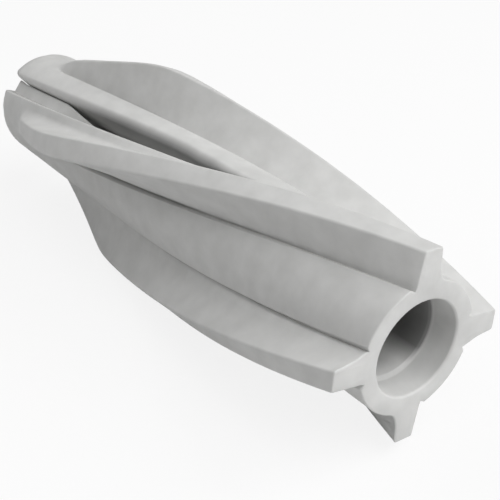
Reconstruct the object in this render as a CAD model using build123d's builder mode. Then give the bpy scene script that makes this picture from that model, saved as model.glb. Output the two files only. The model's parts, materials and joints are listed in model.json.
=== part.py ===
from build123d import *
import os
from math import cos, radians, sin, sqrt

# A nylon anchor for aerated concrete: a hollow core with four helical fins, slotted along the
# same helix at the front, so that two legs spread when a screw is driven in.
# The axis lies along X: the rear face is at x = 0, the screw leaves towards +X, the tip is at -X.
# Depths are measured forwards from the rear face. Angles are in degrees about the axis, seen from
# the rear: 0 is up (+Z) and positive turns towards the left (-Y).

# Driving dimensions, in millimetres and degrees.
length = 75.0
sleeve_length = 25.0
core_radius = 7.0
nose_round = 3.0

entry_radius = 5.0
entry_depth = 3.0
entry_chamfer = 0.25
screw_bore_radius = 4.6
leg_bore_radius = 4.2
tip_bore_radius = 3.0

fin_count = 4
rear_fin_radius = 10.35
peak_fin_radius = 12.7
peak_depth = 49.0
fin_front_slope = 0.267
fin_peak_softness = 0.4
fin_end_setback = 7.2
fin_end_slope = 0.5
fin_land_lead = 1.5
fin_land_trail = -11.0
fin_foot_lead = 9.2
fin_foot_trail = -23.5
fin_waist_trail = -14.0
fin_waist_height = 1.2
fin_sink = 0.8

twist_at_rear = 1.75
twist_falloff = 0.0066

leg_count = 2
slot_edge = -31.0
slot_root_bend = 0.07
slot_straight_depth = 35.0
slot_root_width = 0.4
slot_mid_width = 1.85
slot_tip_width = 2.3
slot_mid_depth = 38.0
slot_flare = 1.2
slot_flare_length = 4.5

bevel_root_width = 0.2
bevel_width = 0.95
bevel_tip_width = 0.35
bevel_full_depth = 32.0
bevel_narrowing_depth = 46.0
bevel_slope = 0.8

web_start_depth = 51.5
web_full_depth = 60.0
web_tip_setback = 2.5
web_start_width = 0.1
web_recess = 1.1
web_thickness = 1.2
web_gap = 0.35

section_step = 5.0
cutter_radius = 20.0
cutter_core = 1.0


def twist(depth):
    """How far the fins and slots have turned at this depth."""
    return twist_at_rear * depth - twist_falloff * depth**2


def fin_radius(depth):
    """The fins rise slowly from the rear and fall steeply to the nose, with a softened peak."""
    rising = rear_fin_radius + (peak_fin_radius - rear_fin_radius) * depth / peak_depth
    falling = peak_fin_radius - fin_front_slope * (depth - peak_depth)
    half_gap = (rising - falling) / 2
    smooth = (rising + falling) / 2 - sqrt(half_gap**2 + fin_peak_softness**2)
    return min(smooth, core_radius + fin_end_slope * (length - fin_end_setback - depth))


def polar(radius, angle):
    """A point of a cross-section, in the local axes of Plane.YZ."""
    return (-radius * sin(radians(angle)), radius * cos(radians(angle)))


def width_angle(width):
    """The angle that a width takes up at the core's surface."""
    return width / radians(core_radius)


def ramp(depth, start, stop, first, last):
    """A value that goes evenly from first to last between two depths, and is constant beyond."""
    share = min(1.0, max(0.0, (depth - start) / (stop - start)))
    return first + (last - first) * share


def slot_angle(depth):
    """The slot edge that follows the fins' helix, bent over towards the other edge at the root."""
    return slot_edge - slot_root_bend * max(0.0, slot_straight_depth - depth) ** 2


def slot_width(depth):
    """The slot opens from its root to its middle, and again to the tip, where it flares."""
    if depth < slot_mid_depth:
        return ramp(depth, sleeve_length, slot_mid_depth, slot_root_width, slot_mid_width)
    flare = ramp(depth, length - slot_flare_length, length, 0.0, 1.0) ** 2 * slot_flare
    return ramp(depth, slot_mid_depth, length, slot_mid_width, slot_tip_width) + flare


def bevel(depth):
    """Width of the broad bevel along the slot's other edge."""
    if depth < bevel_full_depth:
        return ramp(depth, sleeve_length, bevel_full_depth, bevel_root_width, bevel_width)
    return ramp(depth, bevel_narrowing_depth, length, bevel_width, bevel_tip_width)


def web_width(depth):
    """The web widens from nothing until only the gap is left between it and the other leg."""
    full = slot_width(depth) - web_gap
    return ramp(depth, web_start_depth, web_full_depth, web_start_width, full)


def depths(start, stop):
    """Even stations from start to stop, about section_step apart."""
    count = max(2, round((stop - start) / section_step))
    return [start + (stop - start) * i / count for i in range(count + 1)]


def fin_section(depth, turn):
    """Corners of one fin's cross-section, from inside the core out to its narrow land."""
    at = turn + twist(depth)
    top = fin_radius(depth)
    foot = core_radius - fin_sink
    waist = min(core_radius + fin_waist_height, (top + foot) / 2)
    return [
        polar(foot, at + fin_foot_lead),
        polar(top, at + fin_land_lead),
        polar(top, at + fin_land_trail),
        polar(waist, at + fin_waist_trail),
        polar(foot, at + fin_foot_trail),
    ]


def leg_section(depth, turn):
    """Corners of the sector that one leg fills, between the facing edges of the two slots."""
    first = turn + twist(depth) + slot_angle(depth)
    last = first + 360 / leg_count - width_angle(slot_width(depth))
    third = (last - first) / 3
    brow = last - width_angle(bevel(depth))
    return [
        polar(cutter_core, first),
        polar(cutter_radius, first),
        polar(cutter_radius, first + third),
        polar(cutter_radius, last - third),
        polar(cutter_radius, brow),
        polar(core_radius, brow),
        polar(core_radius - bevel_slope * bevel(depth), last),
        polar(cutter_core, last),
    ]


def web_section(depth, turn):
    """Corners of the web: it grows from a leg's first slot edge and stops short of the other."""
    edge = turn + twist(depth) + slot_angle(depth)
    free = edge - width_angle(web_width(depth))
    outer = core_radius - web_recess
    inner = outer - web_thickness
    rooted = edge + width_angle(web_gap)
    return [
        polar(inner, free),
        polar(inner, rooted),
        polar(outer, rooted),
        polar(outer, free),
    ]


tip_x = -length
root_x = -sleeve_length
fin_front_depth = length - fin_end_setback + fin_sink
web_stop_depth = length - web_tip_setback
lead_in_depth = entry_depth + entry_radius - screw_bore_radius

# The whole moulding, before it is divided at the root of the legs.
with BuildPart() as moulding:
    with BuildSketch(Plane.YZ):
        Circle(core_radius)
    extrude(amount=-length)
    fillet(moulding.edges().filter_by(GeomType.CIRCLE).sort_by(Axis.X)[0], radius=nose_round)
    for fin in range(fin_count):
        for depth in depths(0, fin_front_depth):
            with BuildSketch(Plane.YZ.offset(-depth)):
                with BuildLine():
                    Polyline(*fin_section(depth, fin * 360 / fin_count), close=True)
                make_face()
        loft()
    # The way of the screw: an entry recess, a lead-in, a straight bore and a taper to the tip.
    with BuildSketch(Plane.XZ):
        with BuildLine():
            Polyline(
                (1, 0),
                (1, entry_radius + entry_chamfer),
                (0, entry_radius + entry_chamfer),
                (-entry_chamfer, entry_radius),
                (-entry_depth, entry_radius),
                (-lead_in_depth, screw_bore_radius),
                (root_x, screw_bore_radius),
                (root_x, leg_bore_radius),
                (tip_x, tip_bore_radius),
                (tip_x - 1, tip_bore_radius),
                (tip_x - 1, 0),
                close=True,
            )
        make_face()
    revolve(axis=Axis.X, mode=Mode.SUBTRACT)

# The rear sleeve is the part of the moulding that the slots do not reach.
with BuildPart() as rear_sleeve:
    add(moulding.part)
    split(bisect_by=Plane.YZ.offset(root_x), keep=Keep.TOP)
rear_sleeve.part.label = "rear_sleeve"

# Each leg is one half of the front, cut along the helix, with the web that half closes its slot.
with BuildPart() as left_leg:
    add(moulding.part)
    split(bisect_by=Plane.YZ.offset(root_x), keep=Keep.BOTTOM)
    for depth in depths(sleeve_length, length + section_step):
        with BuildSketch(Plane.YZ.offset(-depth)):
            with BuildLine():
                Polyline(*leg_section(depth, 0), close=True)
            make_face()
    loft(mode=Mode.INTERSECT)
    for depth in depths(web_start_depth, web_stop_depth):
        with BuildSketch(Plane.YZ.offset(-depth)):
            with BuildLine():
                Polyline(*web_section(depth, 0), close=True)
            make_face()
    loft()
left_leg.part.label = "left_leg"

with BuildPart() as right_leg:
    add(left_leg.part.rotate(Axis.X, 360 / leg_count))
right_leg.part.label = "right_leg"

os.makedirs("parts", exist_ok=True)
export_step(rear_sleeve.part, "parts/rear_sleeve.step")
export_step(left_leg.part, "parts/left_leg.step")
export_step(right_leg.part, "parts/right_leg.step")
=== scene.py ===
"""The visual model of a nylon anchor for aerated concrete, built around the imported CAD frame."""
import json
from math import cos, radians, sin, sqrt

import bmesh
import bpy
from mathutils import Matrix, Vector


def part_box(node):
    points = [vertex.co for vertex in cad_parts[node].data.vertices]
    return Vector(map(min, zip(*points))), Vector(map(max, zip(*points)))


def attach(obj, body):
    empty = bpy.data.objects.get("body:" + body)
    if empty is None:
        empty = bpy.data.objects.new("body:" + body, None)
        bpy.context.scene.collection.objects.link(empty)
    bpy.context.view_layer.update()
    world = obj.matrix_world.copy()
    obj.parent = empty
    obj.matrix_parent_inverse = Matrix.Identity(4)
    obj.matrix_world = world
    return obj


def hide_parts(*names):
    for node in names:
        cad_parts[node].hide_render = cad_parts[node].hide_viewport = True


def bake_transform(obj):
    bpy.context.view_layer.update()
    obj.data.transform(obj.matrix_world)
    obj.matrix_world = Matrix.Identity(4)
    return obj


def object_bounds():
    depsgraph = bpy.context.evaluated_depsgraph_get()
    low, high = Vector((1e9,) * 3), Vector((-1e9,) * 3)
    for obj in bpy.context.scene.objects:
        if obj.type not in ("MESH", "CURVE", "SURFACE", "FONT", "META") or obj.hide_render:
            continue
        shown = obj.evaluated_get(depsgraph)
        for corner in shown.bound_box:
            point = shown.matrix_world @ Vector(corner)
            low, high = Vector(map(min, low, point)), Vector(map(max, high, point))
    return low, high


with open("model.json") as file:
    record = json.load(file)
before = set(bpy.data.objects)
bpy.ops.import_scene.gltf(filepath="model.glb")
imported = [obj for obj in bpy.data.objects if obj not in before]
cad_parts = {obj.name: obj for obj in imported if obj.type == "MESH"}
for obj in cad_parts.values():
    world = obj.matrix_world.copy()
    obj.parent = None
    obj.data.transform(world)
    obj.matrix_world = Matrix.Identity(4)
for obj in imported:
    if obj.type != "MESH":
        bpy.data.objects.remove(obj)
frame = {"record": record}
cad_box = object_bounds()

# Lengths are in millimetres and angles in degrees. MM turns lengths into Blender's metres.
MM = 0.001

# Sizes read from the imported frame. Depths are measured from the rear face towards the tip at -X.
LENGTH = -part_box("left_leg")[0][0] / MM
ROOT_DEPTH = -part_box("rear_sleeve")[0][0] / MM
MOUNTS = {mount["name"]: mount["dims"] for mount in frame["record"]["mounts"]}
CORE_RADIUS = MOUNTS["drill_hole_grip"]["r_mm"]
ENTRY_RADIUS = MOUNTS["entry_recess"]["r_mm"]
SCREW_BORE_RADIUS = MOUNTS["screw_bore"]["r_mm"]

# The moulding's other sizes, which are the CAD model's.
ENTRY_STEP_DEPTH = 3.0
LEG_BORE_RADIUS = 4.2
TIP_BORE_RADIUS = 3.0
NOSE_ROUND = 3.0
FIN_COUNT = 4
FIN_PITCH = 360 / FIN_COUNT
LEG_PITCH = 180
REAR_FIN_RADIUS = 10.35
PEAK_FIN_RADIUS = 12.7
PEAK_DEPTH = 49.0
FIN_FRONT_SLOPE = 0.267
FIN_PEAK_SOFTNESS = 0.4
FIN_END_DEPTH = 67.8
FIN_END_SLOPE = 0.5
TWIST_AT_REAR = 1.75
TWIST_FALLOFF = 0.0066
SLOT_EDGE = -31.0
SLOT_ROOT_BEND = 0.07
SLOT_STRAIGHT_DEPTH = 35.0
SLOT_ROOT_WIDTH = 0.4
SLOT_MID_WIDTH = 1.85
SLOT_TIP_WIDTH = 2.3
SLOT_MID_DEPTH = 38.0
SLOT_FLARE = 1.2
SLOT_FLARE_DEPTH = 70.5
BEVEL_ROOT_WIDTH = 0.2
BEVEL_WIDTH = 0.95
BEVEL_TIP_WIDTH = 0.35
BEVEL_FULL_DEPTH = 32.0
BEVEL_NARROWING_DEPTH = 46.0
BEVEL_SLOPE = 0.8
WEB_START = 51.5
WEB_FULL = 60.0
WEB_TIP_SETBACK = 2.5
WEB_START_WIDTH = 0.1
WEB_RECESS = 1.1
WEB_THICKNESS = 1.2

# The skin's own shape: where a fin's corners lie, and how much each corner is softened. The feet
# lie at the core's surface, and the web's gap is narrower than the CAD model's.
FOOT_TRAIL = -19.5
WAIST_TRAIL = -14.0
LAND_TRAIL = -11.0
LAND_LEAD = 1.5
FOOT_LEAD = 7.9
WAIST_HEIGHT = 1.2
WAIST_SOFT = 0.9
LAND_SOFT = 0.3
FIN_FULL_RISE = 1.2
CREASE_WIDTH = 0.6
CREASE_DEPTH = 0.4
CREASE_BOTTOM_SHARE = 0.3
TRAIL_FOOT_SOFT = 0.9
SLOT_LIP_SOFT = 0.45
TIP_LIP_SOFT = 0.7
BROW_SOFT = 0.6
TIP_BROW_SOFT = 1.4
BEVEL_FOOT_SOFT = 0.3
BORE_LIP_SOFT = 0.12
WEB_EDGE_SOFT = 0.3
WEB_GAP = 0.15
REAR_LIP = 0.15
MOUTH_LIP_BULGE = 0.03
STEP_LIP = 0.06
STEP_LIP_LENGTH = 0.1
STRAIGHT_BORE_STOP = 24.5
ROOT_STEP_LENGTH = 0.05
CORNER_SHARE = 0.45

# The nose, where the lips are softened more, begins at this depth.
NOSE_START = 66.0

# How finely the skin is divided.
CORNER_STEPS = 4
RING_STEP = 0.6
BORE_RING_STEP = 2.0
WEB_RING_STEP = 1.0
TIP_RINGS = 14
LIP_RINGS = 3
BETWEEN_FINS_DIVISIONS = 9
BEFORE_FIN_DIVISIONS = 3
BEFORE_BEVEL_DIVISIONS = 7
LEG_BORE_DIVISIONS = 24
MERGE_DISTANCE = 1e-7
SHARP_ANGLE = 40.0

# Painted shade in the hollows, where little light reaches: the colour is darkened there. Each pair
# goes from unchanged to fully dark. The slots get a share of the bore's painted shade, and full
# shade multiplies the colour by HOLLOW_SHADE.
BORE_SHADE_RADIUS = (5.1, 4.8)
BORE_SHADE_STEP = (-2.9, -3.2)
BORE_SHADE_ROOT = (-26.0, -25.0)
BORE_SHADE_HEIGHT = (-4.3, -3.1)
SLOT_SHADE_RADIUS = (6.95, 6.45)
SLOT_SHADE_DEEP = (4.4, 6.1)
SLOT_SHADE_ROOT = (-25.5, -31.0)
SLOT_SHADE_WEB = (-62.0, -50.0)
SLOT_SHADE_SHARE = 0.75
HOLLOW_SHADE = 0.3

# The nylon's surface. Noises are (scale per metre, detail), and bumps (strength, metres high).
MOTTLE_NOISE = (420, 4)
MOTTLE_RANGE = (0.3, 0.7)
MOTTLE_COLOURS = ((0.575, 0.575, 0.565, 1), (0.645, 0.645, 0.635, 1))
FLOW_NOISE = (260, 3)
FLOW_STRETCH = (0.25, 1, 1)
FLOW_ROUGHNESS = (0.42, 0.58)
FLOW_BUMP = (0.25, 0.0001)
GRAIN_NOISE = (4500, 2)
GRAIN_BUMP = (0.2, 0.00002)
SPECULAR_LEVEL = 0.4

# The surroundings. Lamps are (name, azimuth, elevation, watts), of one size and at one distance.
FLOOR_COLOUR = (0.8, 0.8, 0.8, 1)
FLOOR_ROUGHNESS = 0.9
FLOOR_WHITENESS = 0.85
FLOOR_HALF = 3.0
WORLD_LEVEL = 0.13
LAMP_DISTANCE = 0.5
LAMP_SIZE = 0.3
LAMPS = [
    ("key", 100, 47, 0.95),
    ("back", 150, 45, 1.15),
    ("high", 60, 65, 0.33),
    ("rear", 85, 15, 0.25),
    ("left", -50, 35, 0.39),
    ("front", -90, 50, 0.41),
]

# The camera: sensor and lens in millimetres, places in metres.
SENSOR_WIDTH = 36.0
CAMERA_LENS = 74.1
CAMERA_AZIMUTH = 53.5
CAMERA_ELEVATION = 30.4
CAMERA_DISTANCE = 0.1291
CAMERA_CLIP_START = 0.01
MIDDLE = Vector((-LENGTH / 2, 0, 0)) * MM
CAMERA_TARGET = MIDDLE + Vector((0, 0.00874, -0.01028))


def between(share, first, last):
    """The value this share of the way from first to last."""
    return first + (last - first) * share


def stations(first, last, step=RING_STEP):
    """Even depths from first to last."""
    count = max(2, round((last - first) / step))
    return [between(i / count, first, last) for i in range(count + 1)]


def twist(depth):
    """How far the fins and slots have turned at this depth."""
    return TWIST_AT_REAR * depth - TWIST_FALLOFF * depth**2


def fin_radius(depth):
    """Radius of the fins' narrow lands."""
    rising = between(depth / PEAK_DEPTH, REAR_FIN_RADIUS, PEAK_FIN_RADIUS)
    falling = PEAK_FIN_RADIUS - FIN_FRONT_SLOPE * (depth - PEAK_DEPTH)
    smooth = (rising + falling) / 2 - sqrt(((rising - falling) / 2) ** 2 + FIN_PEAK_SOFTNESS**2)
    return min(smooth, CORE_RADIUS + FIN_END_SLOPE * (FIN_END_DEPTH - depth))


def core_radius(depth):
    """Radius of the core, rounded off at the tip."""
    past = max(0.0, depth - (LENGTH - NOSE_ROUND))
    return CORE_RADIUS - NOSE_ROUND + sqrt(max(NOSE_ROUND**2 - past**2, 0.0))


def leg_bore_radius(depth):
    """Radius of the tapered bore between the legs."""
    share = (depth - ROOT_DEPTH) / (LENGTH - ROOT_DEPTH)
    return between(share, LEG_BORE_RADIUS, TIP_BORE_RADIUS)


def ramp(depth, start, stop, first, last):
    """A value that goes evenly from first to last between two depths, and is constant beyond."""
    return between(min(1.0, max(0.0, (depth - start) / (stop - start))), first, last)


def slot_angle(depth):
    """The slot edge that follows the helix, bent over towards the other edge at the root."""
    return SLOT_EDGE - SLOT_ROOT_BEND * max(0.0, SLOT_STRAIGHT_DEPTH - depth) ** 2


def slot_width(depth):
    """Width of the slots at the core's surface."""
    if depth < SLOT_MID_DEPTH:
        return ramp(depth, ROOT_DEPTH, SLOT_MID_DEPTH, SLOT_ROOT_WIDTH, SLOT_MID_WIDTH)
    flare = ramp(depth, SLOT_FLARE_DEPTH, LENGTH, 0.0, 1.0) ** 2 * SLOT_FLARE
    return ramp(depth, SLOT_MID_DEPTH, LENGTH, SLOT_MID_WIDTH, SLOT_TIP_WIDTH) + flare


def bevel(depth):
    """Width of the broad bevel along a slot's second edge."""
    if depth < BEVEL_FULL_DEPTH:
        return ramp(depth, ROOT_DEPTH, BEVEL_FULL_DEPTH, BEVEL_ROOT_WIDTH, BEVEL_WIDTH)
    return ramp(depth, BEVEL_NARROWING_DEPTH, LENGTH, BEVEL_WIDTH, BEVEL_TIP_WIDTH)


def web_width(depth):
    """The web widens from nothing until only the gap is left beside it."""
    return ramp(depth, WEB_START, WEB_FULL, WEB_START_WIDTH, slot_width(depth) - WEB_GAP)


def angle_of(width):
    """The angle that a width takes up at the core's surface."""
    return width / radians(CORE_RADIUS)


def polar(radius, angle):
    """A point of a cross-section as (y, z), with 0 degrees up and positive turning to -Y."""
    return Vector((-radius * sin(radians(angle)), radius * cos(radians(angle))))


def soften(corners):
    """The closed outline through (point, softness) corners. None keeps a corner single."""
    outline = []
    count = len(corners)
    for i, (corner, softness) in enumerate(corners):
        if softness is None:
            outline.append(corner)
            continue
        before = corners[i - 1][0] - corner
        after = corners[(i + 1) % count][0] - corner
        start = corner + before.normalized() * min(softness, CORNER_SHARE * before.length)
        stop = corner + after.normalized() * min(softness, CORNER_SHARE * after.length)
        for k in range(CORNER_STEPS + 1):
            share = k / CORNER_STEPS
            outline.append(start.lerp(corner, share).lerp(corner.lerp(stop, share), share))
    return outline


def arc(radius, first, last, divisions):
    """Single corners along an arc, without its two ends."""
    shares = [i / divisions for i in range(1, divisions)]
    return [(polar(radius, between(share, first, last)), None) for share in shares]


def crease(radius, angle, grown, way):
    """Corners of the thin crease where a fin's flank meets the core, on the core's side."""
    width = angle_of(CREASE_WIDTH) * way
    foot = (polar(radius, angle), None)
    bottom = (polar(radius - CREASE_DEPTH * grown, angle + width * CREASE_BOTTOM_SHARE), None)
    edge = (polar(radius, angle + width), None)
    return [foot, bottom, edge][::int(way)]


def fin(depth, turn):
    """Corners of one fin, from its trailing foot over its land to its leading foot."""
    core = core_radius(depth)
    land = max(fin_radius(depth), core)
    rise = land - core
    grown = min(1.0, rise / FIN_FULL_RISE)
    waist = core + min(WAIST_HEIGHT, rise / 2)
    at = turn + twist(depth)
    if turn % LEG_PITCH == 0:
        # These two fins have a soft trailing foot, beside the slots' roots.
        corners = [(polar(core, at + FOOT_TRAIL), TRAIL_FOOT_SOFT * grown)]
    else:
        corners = crease(core, at + FOOT_TRAIL, grown, -1)
    corners += [
        (polar(waist, at + WAIST_TRAIL), WAIST_SOFT * grown),
        (polar(land, at + LAND_TRAIL), LAND_SOFT),
        (polar(land, at + LAND_LEAD), LAND_SOFT),
    ]
    return corners + crease(core, at + FOOT_LEAD, grown, 1)


def between_fins(depth, at):
    """Single corners along the core's surface, from the fin at this angle to the next one."""
    first = at + FOOT_LEAD + angle_of(CREASE_WIDTH)
    last = at + FIN_PITCH + FOOT_TRAIL - angle_of(CREASE_WIDTH)
    return arc(core_radius(depth), first, last, BETWEEN_FINS_DIVISIONS)


def sleeve_outline(depth):
    """The sleeve's outline: four fins with a stretch of core after each."""
    corners = []
    for i in range(FIN_COUNT):
        turn = i * FIN_PITCH
        corners += fin(depth, turn)
        corners += between_fins(depth, turn + twist(depth))
    return soften(corners)


def leg_outline(depth, turn):
    """A leg's cross-section: slot lip, fin, core, fin, core, bevel, slot wall, then the bore."""
    core = core_radius(depth)
    bore = leg_bore_radius(depth)
    at = turn + twist(depth)
    first = at + slot_angle(depth)
    last = first + LEG_PITCH - angle_of(slot_width(depth))
    brow = last - angle_of(bevel(depth))
    bevel_foot = core - BEVEL_SLOPE * bevel(depth)
    lip_soft = ramp(depth, NOSE_START, LENGTH, SLOT_LIP_SOFT, TIP_LIP_SOFT)
    brow_soft = ramp(depth, NOSE_START, LENGTH, BROW_SOFT, TIP_BROW_SOFT)
    fin_start = at + FOOT_TRAIL - angle_of(CREASE_WIDTH)
    fin_stop = at + FIN_PITCH + FOOT_LEAD + angle_of(CREASE_WIDTH)
    corners = [(polar(core, first), lip_soft)]
    corners += arc(core, first, fin_start, BEFORE_FIN_DIVISIONS)
    corners += fin(depth, turn)
    corners += between_fins(depth, at)
    corners += fin(depth, turn + FIN_PITCH)
    corners += arc(core, fin_stop, brow, BEFORE_BEVEL_DIVISIONS)
    corners.append((polar(core, brow), brow_soft))
    corners.append((polar(bevel_foot, last), BEVEL_FOOT_SOFT))
    corners.append((polar(bore, last), BORE_LIP_SOFT))
    corners += arc(bore, last, first, LEG_BORE_DIVISIONS)
    corners.append((polar(bore, first), BORE_LIP_SOFT))
    return soften(corners)


def web_outline(depth, turn):
    """The thin web that grows from a leg's slot wall and stops short of the other leg."""
    edge = turn + twist(depth) + slot_angle(depth)
    free = edge - angle_of(web_width(depth))
    rooted = edge + angle_of(WEB_GAP)
    outer = CORE_RADIUS - WEB_RECESS
    inner = outer - WEB_THICKNESS
    corners = [(inner, free), (inner, rooted), (outer, rooted), (outer, free)]
    return soften([(polar(radius, angle), WEB_EDGE_SOFT) for radius, angle in corners])


def inset(outline, amount):
    """The outline moved inwards, for the softened edge of an end face."""
    count = len(outline)
    moved = []
    for i, point in enumerate(outline):
        along = outline[(i + 1) % count] - outline[i - 1]
        moved.append(point + Vector((-along.y, along.x)).normalized() * amount)
    return moved


def ring(depth, outline):
    """A cross-section's points in the row frame, in metres."""
    return [Vector((-depth, point.x, point.y)) * MM for point in outline]


def beside(outline, radius):
    """One point on a circle for each point of the outline, at the same angle."""
    return [point.normalized() * radius for point in outline]


def skin(name, rings, looped=False):
    """A closed mesh through equal rings: the last ring joins the first, or both are capped."""
    work = bmesh.new()
    rows = [[work.verts.new(point) for point in points] for points in rings]
    size = len(rows[0])
    followers = rows[1:] + (rows[:1] if looped else [])
    for row, after in zip(rows, followers):
        for i in range(size):
            j = (i + 1) % size
            work.faces.new((row[i], row[j], after[j], after[i]))
    if not looped:
        work.faces.new(rows[0])
        work.faces.new(rows[-1])
    bmesh.ops.remove_doubles(work, verts=work.verts, dist=MERGE_DISTANCE)
    bmesh.ops.dissolve_degenerate(work, edges=work.edges, dist=MERGE_DISTANCE)
    bmesh.ops.recalc_face_normals(work, faces=work.faces)
    mesh = bpy.data.meshes.new(name)
    work.to_mesh(mesh)
    work.free()
    mesh.shade_smooth()
    mesh.set_sharp_from_angle(angle=radians(SHARP_ANGLE))
    piece = bpy.data.objects.new(name, mesh)
    bpy.context.scene.collection.objects.link(piece)
    return piece


def make_sleeve():
    """The unslotted rear of the moulding, with its end face, entry recess and straight bore."""
    rear = sleeve_outline(0)
    lead_in_depth = ENTRY_STEP_DEPTH + ENTRY_RADIUS - SCREW_BORE_RADIUS
    rings = [ring(0, inset(rear, REAR_LIP))]
    for k in range(1, LIP_RINGS + 1):
        turn = radians(90 * k / LIP_RINGS)
        rings.append(ring(REAR_LIP * (1 - cos(turn)), inset(rear, REAR_LIP * (1 - sin(turn)))))
    rings += [ring(depth, sleeve_outline(depth)) for depth in stations(REAR_LIP * 2, ROOT_DEPTH)]
    straight = reversed(stations(lead_in_depth, STRAIGHT_BORE_STOP, BORE_RING_STEP))
    inner = [(ROOT_DEPTH, LEG_BORE_RADIUS), (ROOT_DEPTH - ROOT_STEP_LENGTH, SCREW_BORE_RADIUS)]
    inner += [(depth, SCREW_BORE_RADIUS) for depth in straight]
    inner += [
        (lead_in_depth - STEP_LIP_LENGTH, SCREW_BORE_RADIUS + STEP_LIP),
        (ENTRY_STEP_DEPTH + STEP_LIP, ENTRY_RADIUS - STEP_LIP),
        (ENTRY_STEP_DEPTH - STEP_LIP_LENGTH, ENTRY_RADIUS),
        (REAR_LIP * 2, ENTRY_RADIUS),
        (REAR_LIP, ENTRY_RADIUS + MOUTH_LIP_BULGE),
        (MOUTH_LIP_BULGE, ENTRY_RADIUS + REAR_LIP),
        (0, ENTRY_RADIUS + REAR_LIP * 1.5),
    ]
    rings += [ring(depth, beside(sleeve_outline(depth), radius)) for depth, radius in inner]
    return skin("rear_sleeve_skin", rings, looped=True)


def make_leg(side, turn):
    """One spreading leg, from the root plane to its rounded tip."""
    nose = LENGTH - NOSE_ROUND
    depths = stations(ROOT_DEPTH, nose)
    for k in range(1, TIP_RINGS + 1):
        depths.append(nose + NOSE_ROUND * sin(radians(90 * k / TIP_RINGS)))
    return skin(side + "_leg_skin", [ring(depth, leg_outline(depth, turn)) for depth in depths])


def make_web(side, turn):
    """The web of one leg, which ends just short of the tip."""
    depths = stations(WEB_START, LENGTH - WEB_TIP_SETBACK, WEB_RING_STEP)
    return skin(side + "_web", [ring(depth, web_outline(depth, turn)) for depth in depths])


def painted_shade(nodes, links, place):
    """Strength of the painted shade, above 0 where little light reaches: on the upper wall of the
    deep bore, and in the slots.
    """

    def fade(source, clear, dark):
        """0 where the source, a length, is at clear, and 1 where it is at dark."""
        span = nodes.new("ShaderNodeMapRange")
        span.inputs["From Min"].default_value = clear * MM
        span.inputs["From Max"].default_value = dark * MM
        links.new(source, span.inputs["Value"])
        return span.outputs["Result"]

    def combine(operation, first, second):
        """Two values through a math node. The second is a socket or a plain number."""
        math = nodes.new("ShaderNodeMath")
        math.operation = operation
        links.new(first, math.inputs[0])
        if isinstance(second, float):
            math.inputs[1].default_value = second
        else:
            links.new(second, math.inputs[1])
        return math.outputs["Value"]

    split = nodes.new("ShaderNodeSeparateXYZ")
    across = nodes.new("ShaderNodeCombineXYZ")
    length = nodes.new("ShaderNodeVectorMath")
    length.operation = "LENGTH"
    links.new(place.outputs["Object"], split.inputs["Vector"])
    links.new(split.outputs["Y"], across.inputs["Y"])
    links.new(split.outputs["Z"], across.inputs["Z"])
    links.new(across.outputs["Vector"], length.inputs[0])
    along, radius = split.outputs["X"], length.outputs["Value"]
    # Painted shade on the deep bore's upper wall, and a share of it in the slots.
    bore = combine("MULTIPLY", fade(radius, *BORE_SHADE_RADIUS), fade(along, *BORE_SHADE_STEP))
    bore = combine("MULTIPLY", bore, fade(along, *BORE_SHADE_ROOT))
    bore = combine("MULTIPLY", bore, fade(split.outputs["Z"], *BORE_SHADE_HEIGHT))
    slot = combine("MULTIPLY", fade(radius, *SLOT_SHADE_RADIUS), fade(along, *SLOT_SHADE_ROOT))
    slot = combine("MULTIPLY", slot, fade(along, *SLOT_SHADE_WEB))
    slot = combine("MULTIPLY", slot, fade(radius, *SLOT_SHADE_DEEP))
    return combine("MAXIMUM", bore, combine("MULTIPLY", slot, SLOT_SHADE_SHARE))


def nylon():
    """Light grey moulded nylon: satin, with faint mottling, flow marks and a fine grain, and
    painted shade in the bore and slots.
    """
    material = bpy.data.materials.new("grey_nylon")
    material.use_nodes = True
    nodes = material.node_tree.nodes
    links = material.node_tree.links
    shader = nodes["Principled BSDF"]
    place = nodes.new("ShaderNodeTexCoord")

    def noise(scale, detail, stretch=(1, 1, 1)):
        mapping = nodes.new("ShaderNodeMapping")
        mapping.inputs["Scale"].default_value = stretch
        texture = nodes.new("ShaderNodeTexNoise")
        texture.inputs["Scale"].default_value = scale
        texture.inputs["Detail"].default_value = detail
        links.new(place.outputs["Object"], mapping.inputs["Vector"])
        links.new(mapping.outputs["Vector"], texture.inputs["Vector"])
        return texture.outputs["Fac"]

    def spread(source, low, high):
        span = nodes.new("ShaderNodeMapRange")
        span.inputs["To Min"].default_value = low
        span.inputs["To Max"].default_value = high
        links.new(source, span.inputs["Value"])
        return span.outputs["Result"]

    def bump(height, size):
        node = nodes.new("ShaderNodeBump")
        node.inputs["Strength"].default_value = size[0]
        node.inputs["Distance"].default_value = size[1]
        links.new(height, node.inputs["Height"])
        return node

    colour = nodes.new("ShaderNodeValToRGB")
    for element, position, tone in zip(colour.color_ramp.elements, MOTTLE_RANGE, MOTTLE_COLOURS):
        element.position = position
        element.color = tone
    links.new(noise(*MOTTLE_NOISE), colour.inputs["Fac"])
    # The painted shade darkens the base colour in the bore and the slots.
    shade = nodes.new("ShaderNodeMix")
    shade.data_type = "RGBA"
    shade.blend_type = "MULTIPLY"
    links.new(painted_shade(nodes, links, place), shade.inputs["Factor"])
    links.new(colour.outputs["Color"], shade.inputs["A"])
    shade.inputs["B"].default_value = (HOLLOW_SHADE, HOLLOW_SHADE, HOLLOW_SHADE, 1)
    links.new(shade.outputs["Result"], shader.inputs["Base Color"])

    flow = noise(*FLOW_NOISE, FLOW_STRETCH)
    links.new(spread(flow, *FLOW_ROUGHNESS), shader.inputs["Roughness"])
    shader.inputs["Specular IOR Level"].default_value = SPECULAR_LEVEL
    waves = bump(flow, FLOW_BUMP)
    grain = bump(noise(*GRAIN_NOISE), GRAIN_BUMP)
    links.new(waves.outputs["Normal"], grain.inputs["Normal"])
    links.new(grain.outputs["Normal"], shader.inputs["Normal"])
    return material


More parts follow.
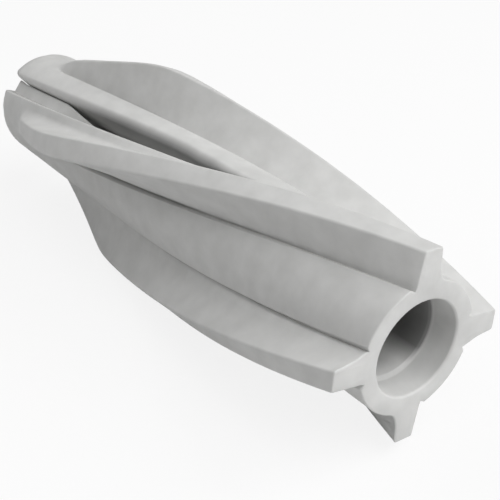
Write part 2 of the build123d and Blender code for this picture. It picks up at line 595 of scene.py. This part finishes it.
def floor_material():
    """A pale floor that the camera sees as nearly white, with the object's shadow kept."""
    material = bpy.data.materials.new("pale_floor")
    material.use_nodes = True
    nodes = material.node_tree.nodes
    links = material.node_tree.links
    shader = nodes["Principled BSDF"]
    shader.inputs["Base Color"].default_value = FLOOR_COLOUR
    shader.inputs["Roughness"].default_value = FLOOR_ROUGHNESS
    white = nodes.new("ShaderNodeEmission")
    white.inputs["Color"].default_value = (1, 1, 1, 1)
    path = nodes.new("ShaderNodeLightPath")
    seen = nodes.new("ShaderNodeMath")
    seen.operation = "MULTIPLY"
    seen.inputs[1].default_value = FLOOR_WHITENESS
    mix = nodes.new("ShaderNodeMixShader")
    links.new(path.outputs["Is Camera Ray"], seen.inputs[0])
    links.new(seen.outputs["Value"], mix.inputs["Fac"])
    links.new(shader.outputs["BSDF"], mix.inputs[1])
    links.new(white.outputs["Emission"], mix.inputs[2])
    links.new(mix.outputs["Shader"], nodes["Material Output"].inputs["Surface"])
    return material


def make_floor():
    """A wide floor just under the anchor."""
    lowest = cad_box[0][2]
    mesh = bpy.data.meshes.new("floor")
    signs = ((-1, -1), (1, -1), (1, 1), (-1, 1))
    corners = [(x * FLOOR_HALF, y * FLOOR_HALF, lowest) for x, y in signs]
    mesh.from_pydata(corners, [], [(0, 1, 2, 3)])
    floor = bpy.data.objects.new("floor", mesh)
    floor.data.materials.append(floor_material())
    bpy.context.scene.collection.objects.link(floor)


def direction(azimuth, elevation):
    """A unit vector from the object: azimuth 0 is towards -Y and 90 towards +X."""
    a = radians(azimuth)
    e = radians(elevation)
    return Vector((sin(a) * cos(e), -cos(a) * cos(e), sin(e)))


def area_light(name, azimuth, elevation, power):
    """A round lamp that points at the anchor's middle."""
    light = bpy.data.lights.new(name, "AREA")
    light.shape = "DISK"
    light.size = LAMP_SIZE
    light.energy = power
    lamp = bpy.data.objects.new(name, light)
    towards = direction(azimuth, elevation)
    lamp.location = MIDDLE + towards * LAMP_DISTANCE
    lamp.rotation_euler = towards.to_track_quat("Z", "Y").to_euler()
    bpy.context.scene.collection.objects.link(lamp)


def make_world():
    """A plain white surrounding: bright to the camera, dimmer as light."""
    world = bpy.data.worlds.new("studio")
    bpy.context.scene.world = world
    world.use_nodes = True
    nodes = world.node_tree.nodes
    links = world.node_tree.links
    background = nodes["Background"]
    background.inputs["Color"].default_value = (1, 1, 1, 1)
    path = nodes.new("ShaderNodeLightPath")
    level = nodes.new("ShaderNodeMapRange")
    level.inputs["To Min"].default_value = WORLD_LEVEL
    level.inputs["To Max"].default_value = 1.0
    links.new(path.outputs["Is Camera Ray"], level.inputs["Value"])
    links.new(level.outputs["Result"], background.inputs["Strength"])


def make_camera():
    """A camera close to the rear end, looking down along the anchor."""
    data = bpy.data.cameras.new("camera")
    data.sensor_width = SENSOR_WIDTH
    data.lens = CAMERA_LENS
    data.clip_start = CAMERA_CLIP_START
    camera = bpy.data.objects.new("camera", data)
    back = direction(CAMERA_AZIMUTH, CAMERA_ELEVATION)
    camera.location = CAMERA_TARGET + back * CAMERA_DISTANCE
    camera.rotation_euler = back.to_track_quat("Z", "Y").to_euler()
    bpy.context.scene.collection.objects.link(camera)
    bpy.context.scene.camera = camera


sleeve = make_sleeve()
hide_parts("rear_sleeve")
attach(sleeve, "sleeve")
pieces = [sleeve]
for side, turn in (("left", 0), ("right", LEG_PITCH)):
    body = side + "_half"
    web = make_web(side, turn)
    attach(web, body)
    leg = make_leg(side, turn)
    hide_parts(side + "_leg")
    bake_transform(leg)
    pieces += [leg, web]

plastic = nylon()
for piece in pieces:
    piece.data.materials.append(plastic)

make_floor()
make_world()
for lamp in LAMPS:
    area_light(*lamp)
make_camera()

bpy.context.scene.view_settings.view_transform = "Standard"
